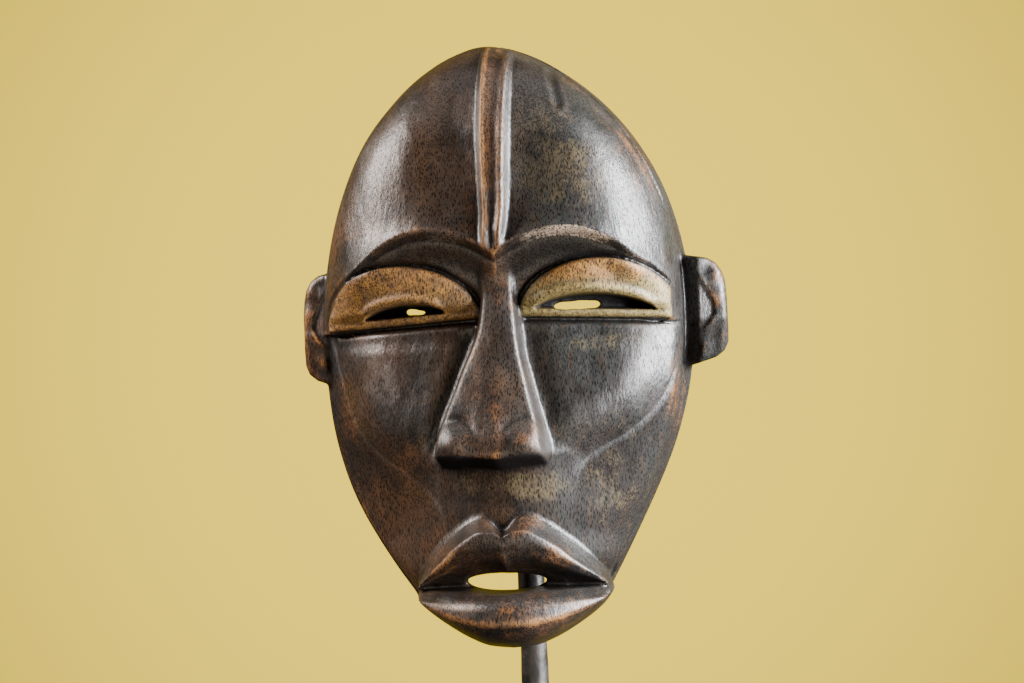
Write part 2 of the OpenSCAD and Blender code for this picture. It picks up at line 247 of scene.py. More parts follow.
# Outer edges of the flat cheek planes, brow to mouth; CHEEK_BACK carries the planes past the middle
CHEEK_RIGHT = (
    (88, 175), (80, 150), (76, 138), (72, 123), (67.5, 108), (59.5, 96.5), (49, 88), (38, 82), (29, 74),
    (25, 62), (23, 45), (20, -20),
)
CHEEK_LEFT = (
    (88, 175), (82, 150), (78, 138), (75, 126), (70.5, 108), (63.5, 92), (52, 80.5), (42, 74), (32, 66),
    (26, 56), (23, 40), (20, -20),
)
CHEEK_BACK = -60.0
CHEEK_TOP_Z = 132.0  # the planes lean back more and more below this


def smooth_line(points, count):
    """Evenly many points along a smooth curve through a few."""
    t = np.linspace(0, len(points) - 1, count)
    return np.stack([curve(t, *enumerate(p[i] for p in points)) for i in (0, 1)], 1)


def past_cheek(x, ax, z):
    """How far a point is outside the edge of its cheek plane."""
    inner = np.array([(CHEEK_BACK, -20.0), (CHEEK_BACK, 175.0)])
    left, right = (closed_distance(np.concatenate([smooth_line(edge, 50), inner]), ax, z)
                   for edge in (CHEEK_LEFT, CHEEK_RIGHT))
    return mix(left, right, ease((x + 2) / 4))


def face(x, ax, z, outside):
    """Flat cheek planes, the jaw that falls back behind their outer edges, and the muzzle."""
    _, u = from_middle(x, z)
    down = CHEEK_TOP_Z - z
    lean = 0.15 * smin(soft(down, 6.0), 46.0, 12.0) * ease(down / 8)
    cheek = 46.5 - 0.12 * ax - 0.0019 * ax ** 2 + lean
    low = ease((z - 42) / 44)
    right = ease((x + 2) / 4)
    steep = mix(mix(0.42, 0.80, ease((z - 15) / 80)), mix(0.22, 0.30, low), right)
    fall = steep * soft(outside, mix(5.0, 1.6, low))
    reach = mix(26, 21, right)
    roll = mix(0.003, mix(0.0135, 0.0215, right), low) * np.clip(outside + reach, 0, reach) ** 2
    plane = smin(cheek, 53.0, 3.0) - fall - roll
    middle = curve(z, (0, 24), (8, 34), (20, 43), (32, 47.5), (50, 49.5), (62, 50), (75, 52), (90, 58),
                   (120, 70))
    jaw = SIDE_D - 3 + (middle - SIDE_D + 3) * (1 - u ** 2.4) ** 0.60
    swell = curve(z, (0, 0), (20, 0.6), (44, 1.0), (56, 0.95), (64, 0.6), (74, 0.25), (84, 0))
    return cheek, smin(plane, jaw, 3.0) + 5.0 * bell(ax / 24) * swell


def orbit(ax, z, fore, cheek):
    """The socket that falls away under the brow and runs out into the cheek."""
    up = z - brow_line(ax)
    deep = 9.5 * mix(1.0, 0.2, ease((ax - 44) / 28))
    fall = deep * (0.42 * ease(-up / 4.5) + 0.58 * ease(-(up + 3.0) / 13.0))
    return mix(cheek, fore - fall, ease((z - 136) / 24))


def groove_line(ax):
    """The groove under the eyes rises a little towards the nose."""
    return GROOVE_Z - 0.8 + 3.2 * np.clip((74 - ax) / 66, 0, 1.1)


def slit_shape(x, ax, z):
    """How far a point is inside the dark slit between the lids, and how high the slit is there."""
    share = (ax - sided(x, 41.0, 39.0)) / sided(x, 18.0, 24.5)
    floor = groove_line(ax) + 4.3
    top = floor + sided(x, 5.2, 6.6) * arc(np.clip(share, -1, 1)) ** 1.3
    inside = smin(z - floor, top - z, 0.8)
    return np.where(np.abs(share) < 1, inside, -1.0), top, share


def lid_share(x, ax, z):
    """0 in the middle of a lid's lower edge and 1 at its outline; the left lid is a little longer."""
    base = groove_line(ax) + 0.9
    longer = sided(x, 1.3, 0)
    across = (ax - EYE_X - longer) / (EYE_HALF + longer)
    return np.sqrt(across ** 2 + (np.maximum(z - base, 0) / (EYE_TOP_Z - base)) ** 2)


def add_lids(h, x, ax, z, socket):
    """Raised almond lids in a fold, with a rolled lower margin over a deep slit."""
    q = lid_share(x, ax, z)
    low = groove_line(ax)
    zone = (q < 1.0) & (z >= low + 0.9)
    lid = socket + 6.4 * arc(unit(q)) ** 0.9 * mix(0.35, 1.0, ease((z - low - 3.4) / 4.5))
    h = h - 1.9 * bell((q - 1.015) / 0.05) * (z > low)
    h = np.where(zone, np.maximum(h, lid), h)
    h = h - 2.8 * bell((z - low) / 1.4) * ease((34.5 - np.abs(ax - EYE_X)) / 4)
    inside, top, share = slit_shape(x, ax, z)
    roll = 1.7 * bell((z - top - 1.9) / 2.2) * ease((1.15 - np.abs(share)) / 0.35)
    h = h + np.where(zone, roll, 0)
    bed = np.minimum(h, hollow_depth(x, z) + 2.4)
    return np.maximum(h - 14.0 * ease((inside + 0.3) / 1.5), bed)


def add_nose(h, x, z):
    """Long wedge of two facets with round wings and an undercut foot, a little to the left."""
    ridge = curve(z, (74, 66), (81, 68.0), (86, 67.6), (100, 63.5), (120, 57.8), (136, 54), (150, 52.0),
                  (166, 52.5))
    x = x + 1.0 * ease((130 - z) / 40)
    ax = np.abs(x)
    edge = curve(z, (74, 24.0), (81.5, 23.6), (88, 22.4), (112, 14.5), (136, 7.0), (150, 5.6), (168, 5))
    edge = edge * mix(1.0, sided(x, 1.09, 0.79), ease((142 - z) / 24))
    facet = curve(z, (74, 0.24), (88, 0.22), (112, 0.22), (136, 0.28), (150, 0.36), (168, 0.4))
    side = curve(z, (74, 7.0), (120, 6.0), (140, 2.6), (168, 0.9))
    nose = ridge - facet * (np.sqrt(ax ** 2 + 4.0) - 2.0) - side * soft(ax - edge, 0.4)
    to_nostril = np.hypot(ax - sided(x, 17.6, 12.2), z - 87.0)
    nose = nose + 3.2 * bell(to_nostril / 6.4)
    nose = nose - 0.9 * bell((to_nostril - 9.4) / 2.0) * ease((z - 88) / 6) * (ax < edge + 1)
    under = (81.0 - 0.9 * bell(ax / 8) + 0.03 * ax) - z
    nose = np.where(z < 62, NOWHERE, nose - 3.0 * soft(under, 0.7))
    channel = sided(x, 2.6, 1.4) * bell((ax - edge - 4.0) / sided(x, 3.4, 5.0))
    h = h - channel * ease((z - 78) / 10) * ease((142 - z) / 14)
    return np.where(z < 168, smax(h, nose, mix(1.2, 5.0, ease((z - 138) / 14))), h)


def lips_front(x, z):
    """Depth of the full lips: a hollow band, a crest and a face that turns into the mouth."""
    ax = np.abs(x)
    rim, crest, low = lip_rim(np.abs(x + 1)), lip_crest(ax), lip_bottom(ax)
    at_rim = 54.5 - 0.0125 * ax ** 2
    at_crest = 65.0 - 0.0150 * ax ** 2
    t = (rim - z) / np.maximum(rim - crest, 0.5)
    band = mix(at_rim, at_crest, unit(t) ** 1.5)
    s = (crest - z) / np.maximum(crest - MOUTH_Z - 1.2, 0.5)
    sink = 0.22 * unit(s) ** 1.5 + 0.78 * ease((s - 0.28) / 0.72) ** 1.5
    inner = at_crest + 0.9 * bell((s - 0.14) / 0.16) - (at_crest - MOUTH_FLOOR) * sink
    upper = np.where(z > crest, band, inner)
    v = (LIP_TOP_Z - z) / np.maximum(LIP_TOP_Z - low, 0.8)
    front = curve(v, (0, 0.0), (0.16, 1.5), (0.38, 2.0), (0.60, -0.5), (0.78, -6), (0.92, -15), (1.0, -24),
                  (1.3, -50))
    shelf = -1.8 * soft(z - LIP_TOP_Z, 0.8)
    lower = at_crest + 0.5 + np.where(z > LIP_TOP_Z, 0, front) + shelf
    return np.where(z > MOUTH_Z, upper, np.maximum(lower, 5.0))


def lips_line():
    """The lips' outline as a closed line of points."""
    x = np.linspace(-LIP_HALF + 0.3, LIP_HALF - 0.3, 61)
    top = np.stack([x, lip_rim(np.abs(x + 1))], 1)
    low = np.stack([x, lip_bottom(np.abs(x))], 1)
    return np.concatenate([low, top[::-1]])


def add_muzzle(h, ax, z, from_lips):
    """The face swells up to meet the upper lip's rim."""
    rim = 53.8 - 0.0125 * ax ** 2
    share = bell(np.maximum(from_lips, 0) / 10.0) * ease((z - 27) / 16)
    return h + np.maximum(rim - h, 0) * share


def front_depth(x, z, lips_edge, cheek_edge):
    """Depth of the finished front without its lips."""
    ax = np.abs(x)
    fore = forehead(x, ax, z)
    cheek, planes = face(x, ax, z, cheek_edge.at(x, z))
    socket = orbit(ax, z, fore, cheek)
    below = np.where(z > groove_line(ax) - 0.3, np.minimum(socket, fore - 0.1), planes)
    h = np.where(z > brow_line(ax), fore, below)
    h = add_lids(h, x, ax, z, socket)
    h = add_nose(h, x, z)
    h = add_muzzle(h, ax, z, lips_edge.at(x, z))
    return h + 0.16 * ripple(x, z, 22, SEED, 1.6) + 0.07 * ripple(x, z, 7, SEED + 1, 3.0)


# ---- The hollow, the openings and the ears ----

def hollow_depth(x, z):
    """Depth of the gouged hollow behind the face."""
    half = np.maximum(outline(z) - RIM_W + centre(z) / 2, 1.0)
    x = x - centre(z) * ease((150 - z) / 50)
    high = mix(HOLLOW_SIDE, HOLLOW_FORE, arc((z - HOLLOW_DEEP_Z) / (MASK_H + 2.4 - HOLLOW_DEEP_Z)))
    low = mix(HOLLOW_CHEEK, HOLLOW_FORE, ease((z - 160) / 25))
    low = low * np.where(z < 40, mix(0.62, 1, arc(unit((40 - z) / 40))), 1)
    middle = np.where(z > HOLLOW_DEEP_Z, high, low) - WALL
    depth = middle * arc(unit(np.abs(x) / half))
    return depth + gouge_marks(x, z) * ease(depth / 8)


def gouge_marks(x, z):
    """Depth of overlapping gouge cuts in wandering lanes."""
    lane = (x + 1.6 * np.sin(z / 31) + 0.8 * np.sin(z / 13 + 1)) / GOUGE_WIDE
    row = np.floor(lane)
    across = (lane - row) * 2 - 1
    start = 0.37 * np.sin(row * 12.9898) * 3.1
    step = np.mod(z / GOUGE_LONG + start, 1.0)
    return 0.75 * (1 - across ** 2) * (0.45 + 0.55 * ease(step * 1.3))


EAR_TOP_Z = 162.0
EAR_POINTS = (
    (66, 112), (77.5, 114.9), (85.7, 117.4), (89.2, 120), (91.0, 123.7), (91.2, 128.6), (91.1, 142),
    (90.6, 149.5), (89.4, 153.5), (86.9, 157.3), (83.6, 159.3), (74.8, 160.9), (66, 163),
)


def ear_front(ax, z):
    """Depth of an ear: a raised outer fold round a flat inner facet."""
    inner = curve(z, (110, 68), (119, 79.6), (128.8, 80.5), (132, 83.4), (137, 85.9), (140, 85.8),
                  (145, 83.2), (150.5, 80.3), (156, 77), (165, 66))
    fold = ease((ax - inner + 0.7) / 1.9)
    facet = 14.6 - 0.46 * np.maximum(ax - 79.8, 0) - 0.5 * np.maximum(79.8 - ax, 0)
    lumps = 0.45 * ripple(ax, z, 8.0, SEED + 3)
    return mix(facet, 13.2 - 0.34 * (ax - 86) + lumps, fold * ease((ax - 77) / 3))


def ear_height(x, z):
    """Both ears share an outline; the left one reaches a little lower."""
    return np.where(x < 0, EAR_TOP_Z + 0.93 * (z - EAR_TOP_Z), z)


def closed_distance(points, x, z):
    """Signed distance to a closed line of points, negative inside."""
    a = np.asarray(points, float)
    b = np.roll(a, -1, 0)
    best = np.full(x.shape, 1e9)
    inside = np.zeros(x.shape, bool)
    for (ax, az), (bx, bz) in zip(a, b):
        ex, ez = bx - ax, bz - az
        t = unit(((x - ax) * ex + (z - az) * ez) / (ex * ex + ez * ez + 1e-12))
        best = np.minimum(best, (x - ax - t * ex) ** 2 + (z - az - t * ez) ** 2)
        if ez != 0:
            inside ^= ((az > z) != (bz > z)) & (x < ex * (z - az) / ez + ax)
    return np.where(inside, -1.0, 1.0) * np.sqrt(best)


def face_line():
    """The face's outline, a closed line up the right side and down the left."""
    t = np.linspace(0, math.pi, 150)
    z = MASK_H * (0.5 - 0.5 * np.cos(t))
    right = np.stack([outline(z), z], 1)
    left = right[::-1] * (-1, 1)
    line = np.concatenate([right, left[1:-1]])
    line[:, 0] += centre(line[:, 1])
    return line


class Map:
    """Values on an even grid over x and z, read between its points."""

    def __init__(self, make, step):
        self.step = step
        self.x0 = -(EAR_REACH + MAP_MARGIN)
        self.z0 = -MAP_MARGIN
        x = np.arange(self.x0, EAR_REACH + MAP_MARGIN + step, step)
        z = np.arange(self.z0, MASK_H + MAP_MARGIN + step, step)
        self.values = make(*np.meshgrid(x, z, indexing="ij"))

    def slope_scale(self):
        """How much shorter the way straight to the surface is than the way along d."""
        gx, gz = np.gradient(self.values, self.step)
        scale = 1.0 / np.sqrt(1.0 + np.minimum(gx * gx + gz * gz, 14.0))
        return Map(lambda x, z: scale, self.step)

    def at(self, x, z):
        u = np.clip((x - self.x0) / self.step, 0, self.values.shape[0] - 1.001)
        v = np.clip((z - self.z0) / self.step, 0, self.values.shape[1] - 1.001)
        i, j = u.astype(int), v.astype(int)
        fu, fv = u - i, v - j
        g = self.values
        low = g[i, j] * (1 - fu) + g[i + 1, j] * fu
        high = g[i, j + 1] * (1 - fu) + g[i + 1, j + 1] * fu
        return low * (1 - fv) + high * fv


def make_maps():
    """Each surface's depth and slope, and the distances from the outlines."""
    lips_edge = Map(lambda x, z: closed_distance(lips_line(), x, z), 0.8)
    cheek_edge = Map(lambda x, z: past_cheek(x, np.abs(x), z), 0.8)
    depths = {
        "front": Map(lambda x, z: front_depth(x, z, lips_edge, cheek_edge), MAP_STEP),
        "hollow": Map(hollow_depth, MAP_STEP),
        "ear": Map(lambda x, z: ear_front(np.abs(x), z), MAP_STEP),
        "lips": Map(lips_front, MAP_STEP),
    }
    edges = {
        "edge": Map(lambda x, z: closed_distance(face_line(), x, z), 1.2),
        "ear_edge": Map(lambda x, z: closed_distance(EAR_POINTS, np.abs(x), ear_height(x, z)), 0.6),
        "lips_edge": lips_edge,
        "cheek_edge": cheek_edge,
    }
    scales = {name + "_scale": depth.slope_scale() for name, depth in depths.items()}
    return {**depths, **edges, **scales}


def columns(maps, x, z):
    """Every map's value at some points, with the points themselves."""
    return {**{name: m.at(x, z) for name, m in maps.items()}, "x": x, "z": z}


def eye_hole(c, d):
    """The part of each slit that goes right through, wider towards the back."""
    x = c["x"]
    wide = sided(x, 4.4, 9.4)
    across = (x - sided(x, -37.4, 30.8)) / wide
    low = sided(x, 140.4, 139.8) + 0.12 * np.sin(x * 1.1)
    high = sided(x, 142.4, 143.1) + 0.12 * np.sin(x * 0.8 + 1) - sided(x, 0.6, -0.3) * across
    flare = 0.12 * np.maximum(c["hollow"] + 1.5 - d, 0)
    half = (high - low) / 2 * np.sqrt(unit(1 - across ** 4)) + flare
    upright = np.abs(c["z"] - (low + high) / 2) - half
    ends = (np.abs(across) - 1) * wide - flare
    return smax(ends, upright, 0.8)


def mouth_hole(c, d):
    """The opening through the mouth's floor, a flat oval that widens towards the back."""
    flare = 0.12 * np.maximum(38 - d, 0)
    high = 3.9 + flare
    across = (c["x"] + 2.6) / (16.6 + flare)
    upright = (c["z"] - 28.7) / high
    return (np.sqrt(across ** 2 + upright ** 2 + 1e-9) - 1) * high


def lips_pad(c, d):
    """The lips as a solid that stands out over the jaw's edge."""
    pad = smax((d - c["lips"]) * c["lips_scale"], c["lips_edge"], 1.2)
    return smax(pad, 24 - 0.5 * (c["z"] - 10) - d, 8.0)


def inside_lips(c, d):
    """The space between the lips, in front of the mouth's floor."""
    z = c["z"]
    space = smax(smax(z - 0.25 * (d - MOUTH_FLOOR) - 37, MOUTH_Z - z, 2), MOUTH_FLOOR - d, 2)
    space = smax(space, c["lips_edge"] + 3, 3)
    return smax(space, (c["lips"] + 0.2 - d) * c["lips_scale"], 1.0)


def side_draft(x, z):
    """How much the side wall leans in: less at the left cheek and right temple, more at the right ear."""
    draft = WALL_DRAFT * ease((z - 20) / 50) * ease((256 - z) / 30)
    draft = draft * (1 - 0.8 * bell((z - 85) / 45) * (x < 0))
    draft = draft * (1 - 0.7 * ease((z - 165) / 25) * (x > 0))
    return draft * (1 + 1.1 * bell((z - 125) / 32) * (x > 0))


def field(c, d):
    """Signed distance to the carving, about right near its surface, negative in the wood."""
    body = smax((d - c["front"]) * c["front_scale"], c["edge"] + side_draft(c["x"], c["z"]) * d, 1.6)
    body = smin(body, lips_pad(c, d), 1.0)
    ear = smax((d - c["ear"]) * c["ear_scale"], c["ear_edge"], 2.6)
    ear = smax(ear, 1.6 - d, 3.0)
    solid = smax(smin(body, ear, 1.6), -d, 1.4)
    ends = np.maximum(c["z"] - HOLLOW_HIGH, HOLLOW_LOW - c["z"])
    hollow = smax((d - c["hollow"]) * c["hollow_scale"], ends, 6.0)
    solid = smax(solid, -hollow, 1.8)
    solid = smax(solid, -inside_lips(c, d), 1.0)
    solid = smax(solid, -eye_hole(c, d), 0.8)
    return smax(solid, -mouth_hole(c, d), 1.2)


# ---- Meshing ----

def grid_lines():
    """Cell walls along x, d and z; the cells are smaller round the eyes and lips."""
    x = np.arange(-EAR_REACH - 2, EAR_REACH + 2 + CELL, CELL)
    d = np.arange(-2, 76, CELL)
    z = [-2.0]
    while z[-1] < MASK_H + 2:
        fine = bell((z[-1] - 140) / 16) + bell((z[-1] - 42) / 26)
        z.append(z[-1] + CELL * (1.12 - 0.34 * min(1.0, fine)))
    return x, d, np.array(z)


CORNERS = np.array([[i, j, k] for i in (0, 1) for j in (0, 1) for k in (0, 1)])
EDGES = [(a, b) for a in range(8) for b in range(a + 1, 8) if np.abs(CORNERS[a] - CORNERS[b]).sum() == 1]


def crossings(values, lines, cells):
    """Mean point where the surface crosses the edges of each cell."""
    at = cells[:, None, :] + CORNERS[None]
    value = values[at[..., 0], at[..., 1], at[..., 2]]
    place = np.stack([lines[a][at[..., a]] for a in range(3)], -1)
    total = np.zeros((len(cells), 3))
    count = np.zeros((len(cells), 1))
    for a, b in EDGES:
        crosses = (value[:, a] < 0) != (value[:, b] < 0)
        t = value[:, a] / np.where(crosses, value[:, a] - value[:, b], 1.0)
        point = mix(place[:, a], place[:, b], t[:, None])
        total += np.where(crosses[:, None], point, 0)
        count += crosses[:, None]
    return total / count


def surface_net(values, lines):
    """Vertices and quads of the surface where the values change sign."""
    solid = values < 0
    size = np.array(solid.shape) - 1
    corners = [solid[tuple(slice(a, a + n) for a, n in zip(corner, size))] for corner in CORNERS]
    mixed = np.any(corners, 0) & ~np.all(corners, 0)
    cells = np.argwhere(mixed)
    number = np.full(mixed.shape, -1, np.int64)
    number[tuple(cells.T)] = np.arange(len(cells))
    quads = []
    for axis in range(3):
        u, v = (axis + 1) % 3, (axis + 2) % 3
        here = np.moveaxis(solid, axis, 0)
        change = np.moveaxis(here[:-1] != here[1:], 0, axis)
        at = np.argwhere(change)
        at = at[(at[:, u] > 0) & (at[:, v] > 0)]
        ring = []
        for du, dv in ((1, 1), (0, 1), (0, 0), (1, 0)):
            cell = at.copy()
            cell[:, u] -= du
            cell[:, v] -= dv
            ring.append(number[tuple(cell.T)])
        ring = np.stack(ring, 1)
        outward = solid[tuple(at.T)]
        quads.append(np.where(outward[:, None], ring, ring[:, ::-1]))
    return crossings(values, lines, cells), np.concatenate(quads)


def settle(maps, points):
    """Moves points onto the exact surface with a few Newton steps."""
    def value(p):
        return field(columns(maps, p[:, 0], p[:, 2]), p[:, 1])

    h = 0.25
    for _ in range(3):
        f = value(points)
        slope = np.empty_like(points)
        for a, step in enumerate(h * np.eye(3)):
            slope[:, a] = (value(points + step) - value(points - step)) / (2 * h)
        move = f / np.maximum((slope ** 2).sum(1), 0.25)
        points = points - np.clip(move, -0.3, 0.3)[:, None] * slope
    return points


class Surface:
    """Sums over neighbours in a quad mesh, which tell ridges from hollows."""

    def __init__(self, points, quads):
        self.points, self.quads = points, quads
        edges = np.concatenate([quads[:, [i, (i + 1) % 4]] for i in range(4)])
        self.a, self.b = edges[:, 0], edges[:, 1]
        self.count = np.maximum(np.bincount(self.a, minlength=len(points)), 1)

    def average(self, values):
        if values.ndim == 1:
            return np.bincount(self.a, values[self.b], len(self.count)) / self.count
        return np.stack([self.average(values[:, i]) for i in range(values.shape[1])], 1)

    def normals(self):
        p = self.points[self.quads]
        n = np.cross(p[:, 2] - p[:, 0], p[:, 3] - p[:, 1])
        total = np.zeros_like(self.points)
        for i in range(4):
            for k in range(3):
                total[:, k] += np.bincount(self.quads[:, i], n[:, k], len(self.points))
        return total / np.maximum(np.linalg.norm(total, axis=1, keepdims=True), 1e-12)

    def standing_out(self, rounds):
        """How far each point stands out of its smoothed surroundings."""
        smooth = self.points
        for _ in range(rounds):
            smooth = self.average(smooth)
        return ((self.points - smooth) * self.normals()).sum(1)


# Each patch: place x and z, reach across and up, strength
RUST_PATCHES = (
    (-72, 190, 7, 55, 0.9), (-52, 176, 26, 6, 0.8), (-8, 188, 4, 26, 0.7), (1, 205, 4.5, 60, 1.0),
    (-40, 82, 12, 10, 0.8), (-9, 104, 8, 34, 0.6), (0, 92, 3, 24, 0.7), (13, 90, 9, 7, 0.4),
    (-55, 62, 16, 20, 0.6), (10, 12, 22, 8, 0.6), (-16, 38, 16, 8, 0.6), (4, 150, 8, 12, 0.5),
    (-24, 12, 12, 9, 0.5), (-30, 42, 9, 12, 0.8), (0, 16, 44, 9, 0.5), (18, 40, 14, 7, 0.5),
    (-86, 138, 8, 22, 0.9), (69, 108, 4, 26, 0.7), (12, 54, 9, 4, 0.8), (-3, 206, 1.7, 60, 0.9),
    (86, 146, 5, 14, 0.5), (58, 214, 8, 40, 0.6), (-70, 98, 5, 26, 0.7), (-62, 128, 8, 8, 0.4),
    (-48, 232, 16, 10, 0.6), (40, 236, 14, 7, 0.5),
)
DUST_PATCHES = (
    (30, 196, 20, 17, 0.9), (12, 68, 16, 7, 1.0), (-14, 70, 12, 5, 0.6), (44, 70, 16, 26, 0.5),
    (-40, 60, 14, 18, 0.3), (42, 126, 22, 5, 0.7), (22, 218, 16, 14, 0.5), (56, 182, 10, 12, 0.5),
    (-14, 152, 9, 9, 0.4), (30, 30, 12, 6, 0.5), (0, 14, 30, 4, 0.3),
)
# Where the brow's bevel shows pale end grain, brightened further as a painted highlight, most at the right
CUT_AND_HIGHLIGHT_PATCHES = ((35, 170, 15, 7, 1.0), (17, 168, 7, 6, 0.4), (56, 158, 9, 8, 0.35), (-20, 170, 13, 4, 0.35))


def patch_share(patches, x, z):
    """How strongly a few soft round patches cover each point, from 0 to 1."""
    left = np.ones_like(x)
    for px, pz, rx, rz, strength in patches:
        left = left * (1 - strength * bell(np.hypot((x - px) / rx, (z - pz) / rz) ** 1.5))
    return 1 - left


def nose_underside_shade(surface, x, d, z):
    """1 on the underside of the nose, where it faces down: partly dark paint, partly painted shade."""
    down = -surface.normals()[:, 2]
    return ease((down - 0.35) / 0.4) * ease((z - 70) / 3) * ease((84 - z) / 2) * ease((d - 43) / 4) \
        * ease((29 - np.abs(x)) / 2)


def mesh_attributes(surface, maps):
    """Worn ridges, rougher hollows, painted shade in creases, slits and under the nose, matt wood, pigment
    and the inside, from 0 to 1 at each point.
    """
    x, d, z = surface.points.T
    ax = np.abs(x)
    fine = surface.average(surface.standing_out(3))
    broad = surface.average(surface.standing_out(26))
    c = columns(maps, x, z)
    on_front = ease((d - c["front"] + 3.0) / 2.0)
    q = lid_share(x, ax, z)
    in_slit, _, _ = slit_shape(x, ax, z)
    lid = ease((1.0 - q) / 0.05) * ease((z - groove_line(ax) - 0.6) / 1.0) * on_front
    inside = ease((c["hollow"] + 1.2 - d) / 1.5) * ease((outline(z) - RIM_W + 2 - ax) / 2)
    up = z - brow_line(ax)
    bevel = ease((up + 5.4) / 1.6) * ease((0.2 - up) / 1.2) * on_front
    on_jaw = ease((c["cheek_edge"] + 0.5) / 4.0) * ease((136 - z) / 4)
    below_nose = ease((84 - z) / 5) * ease((34 - ax) / 10) * ease((d - 30) / 4)
    cheek_line = bell((c["cheek_edge"] - 0.6) / 1.1) * ease((z - 66) / 12) * ease((136 - z) / 4) * on_front
    rim_line = bell((c["edge"] + 3.2) / 1.5) * ease((z - 165) / 20) * ease((d - 12) / 6)
    rim_line = rim_line * sided(x, 0.5, 1.0)
    return {
        "wear": np.maximum(unit(fine / 0.10), np.maximum(0.75 * cheek_line, 0.9 * rim_line)),
        "matte": np.maximum(on_jaw, below_nose) * ease(c["lips_edge"] / 1.5),
        "cavity": unit(-broad / 1.1),
        # painted shade in the creases
        "crease_shade": unit(-fine / 0.12),
        "lid": lid * (1 - ease(in_slit / 0.9)),
        # painted shade: the slits and the nose's underside go almost black
        "dark": np.maximum(ease(in_slit / 1.2) * ease((z - 130) / 4), nose_underside_shade(surface, x, d, z)),
        "inside": inside,
        "rust": patch_share(RUST_PATCHES, x, z),
        "dust": patch_share(DUST_PATCHES, x, z),
        # pale end grain under the brow, partly a painted highlight
        "cut": bevel * patch_share(CUT_AND_HIGHLIGHT_PATCHES, x, z),
    }


def sculpt_mask():
    """The carved mask as one mesh, with the attributes that its material reads."""
    maps = make_maps()
    lines = grid_lines()
    x, z = np.meshgrid(lines[0], lines[2], indexing="ij")
    c = {name: value[:, None, :].astype(np.float32) for name, value in columns(maps, x, z).items()}
    values = field(c, lines[1][None, :, None].astype(np.float32))
    points, quads = surface_net(values, lines)
    points = settle(maps, points)
    surface = Surface(points, quads)
    attributes = mesh_attributes(surface, maps)
    row = np.stack([points[:, 0] * MM, RIM_Y - points[:, 1] * MM, CHIN_Z + points[:, 2] * MM], 1)
    mesh = bpy.data.meshes.new("carved_mask")
    mesh.from_pydata(row.tolist(), [], quads[:, ::-1].tolist())
    mesh.shade_smooth()
    for name, value in attributes.items():
        layer = mesh.attributes.new(name, "FLOAT", "POINT")
        layer.data.foreach_set("value", value.astype(np.float32))
    mesh.update()
    link_piece("carved_mask", mesh, "mask", "mask", "carved_wood")


def add_object(name, data):
    thing = bpy.data.objects.new(name, data)
    bpy.context.scene.collection.objects.link(thing)
    return thing


def link_piece(name, mesh, node, body, slot):
    """Shows a finished mesh in place of a CAD node, in its slot's material."""
    mesh.materials.clear()
    mesh.materials.append(materials[slot])
    piece = add_object(name, mesh)
    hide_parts(node)
    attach(piece, body)


# ---- The stand's pieces ----

def ring_mesh(name, rings, last, first=None):
    """A mesh through rings of points, closed by a point past the last ring and one before the first."""
    count, sides = rings.shape[:2]
    faces = []
    for i in range(count - 1):
        for k in range(sides):
            m = (k + 1) % sides
            faces.append((i * sides + k, i * sides + m, (i + 1) * sides + m, (i + 1) * sides + k))
    for k in range(sides):
        m = (k + 1) % sides
        if first is not None:
            faces.append((count * sides + 1, m, k))
        faces.append((count * sides, (count - 1) * sides + k, (count - 1) * sides + m))
    tips = [last] if first is None else [last, first]
    mesh = bpy.data.meshes.new(name)
    mesh.from_pydata(np.concatenate([rings.reshape(-1, 3), tips]).tolist(), [], faces)
    return mesh


def forge_rod():
    """The hand-forged rod: a round bar with shallow dents all the way up."""
    low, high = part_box("post")
    centre_x, centre_y = (low.x + high.x) / 2, (low.y + high.y) / 2
    radius = (high.x - low.x) / 2
    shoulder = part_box("post_flange")[0].z
    spigot = radius * 2 / 3
    foot, tip, steps, sides = 0.0005, 0.0015, 210, 40
    profile = [(spigot - foot, low.z), (spigot, low.z + foot), (spigot, shoulder), (radius, shoulder)]
    profile += [(radius, mix(shoulder, high.z - tip, i / steps)) for i in range(1, steps + 1)]
    profile.append((radius - 0.001, high.z))
    r, z = np.array(profile).T[:, :, None]
    a = np.linspace(0, 2 * math.pi, sides, endpoint=False)[None, :]
    around = radius / MM * a
    dents = 0.5 + 0.5 * ripple(around + 0 * z, z / MM + 0 * a, 9.0, SEED + 5, 2.2)
    r = r - 0.00032 * np.clip(dents, 0, 1.2) * (r > spigot + 0.001)
    rings = np.stack([centre_x + r * np.cos(a), centre_y + r * np.sin(a), z + 0 * a], -1)
    mesh = ring_mesh("forged_rod", rings, (centre_x, centre_y, high.z), (centre_x, centre_y, low.z))
    mesh.shade_smooth()
    mesh.set_sharp_from_angle(angle=math.radians(40))
    link_piece("forged_rod", mesh, "post", "stand", "black_iron")


def soften(node, body, slot, width):
    """A copy of a turned or sawn part with its edges broken by a file or sandpaper."""
    mesh = frame["nodes"][node].data.copy()
    mesh.name = node + "_worked"
    shape = bmesh.new()
    shape.from_mesh(mesh)
    bmesh.ops.remove_doubles(shape, verts=shape.verts, dist=1e-6)
    bmesh.ops.dissolve_limit(shape, angle_limit=math.radians(0.8), verts=shape.verts, edges=shape.edges)
    sharp = [e for e in shape.edges if len(e.link_faces) == 2 and e.calc_face_angle() > math.radians(35)]
    bmesh.ops.bevel(shape, geom=sharp, offset=width, offset_type="OFFSET", segments=2, profile=0.5,
                    affect="EDGES", clamp_overlap=True)
    shape.to_mesh(mesh)
    shape.free()
    mesh.shade_smooth()
    mesh.set_sharp_from_angle(angle=math.radians(20))
    link_piece(node + "_worked", mesh, node, body, slot)


